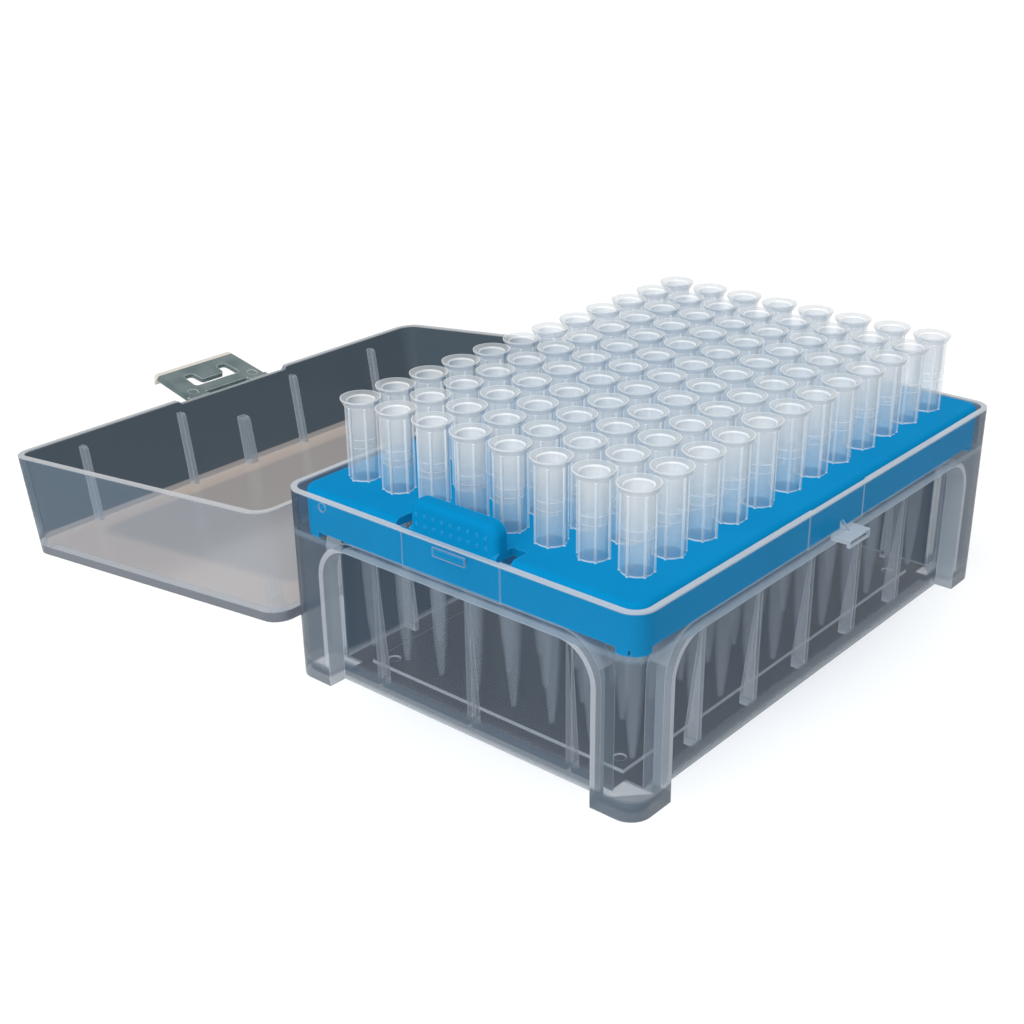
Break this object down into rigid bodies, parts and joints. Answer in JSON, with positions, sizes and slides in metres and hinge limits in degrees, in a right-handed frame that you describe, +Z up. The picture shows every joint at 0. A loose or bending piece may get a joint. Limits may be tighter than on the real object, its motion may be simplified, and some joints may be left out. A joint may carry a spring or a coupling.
{
  "type": "box of pipette tips",
  "caption": "Hinged clear plastic rack box that holds disposable pipette tips upright in a blue tray, with its lid open.",
  "frame": {"origin": "on the table under the middle of the base, which is also under the middle of the tip grid", "axes": "+Z up; X along the tip columns' row, the rack's grip on the -X side; +Y towards the hinge and the open lid, the latch hook on the -Y side"},
  "size_m": [0.1266, 0.1924, 0.0554],
  "materials": {
    "clear_shell": "clear polypropylene, satin",
    "blue_rack": "opaque polypropylene, satin",
    "natural_tip": "natural polypropylene, translucent"
  },
  "bodies": {
    "base": {"base": "clear_shell", "rack": "blue_rack", "tip_column_01": "natural_tip", "tip_column_02": "natural_tip", "tip_column_03": "natural_tip", "tip_column_04": "natural_tip", "tip_column_05": "natural_tip", "tip_column_06": "natural_tip", "tip_column_07": "natural_tip", "tip_column_08": "natural_tip", "tip_column_09": "natural_tip", "tip_column_10": "natural_tip", "tip_column_11": "natural_tip", "tip_column_12": "natural_tip"},
    "lid": {"lid": "clear_shell"},
    "latch": {"latch_clip": "clear_shell"}
  },
  "joints": [
    {"name": "lid_hinge", "type": "hinge", "parent": "base", "child": "lid", "pos_m": [0, 0.04467, 0.0345], "axis": [1, 0, 0], "range_deg": [0, 186.24]},
    {"name": "latch_hinge", "type": "hinge", "parent": "lid", "child": "latch", "pos_m": [0, 0.1319, 0.02154], "axis": [1, 0, 0], "range_deg": [-70, 71]}
  ]
}
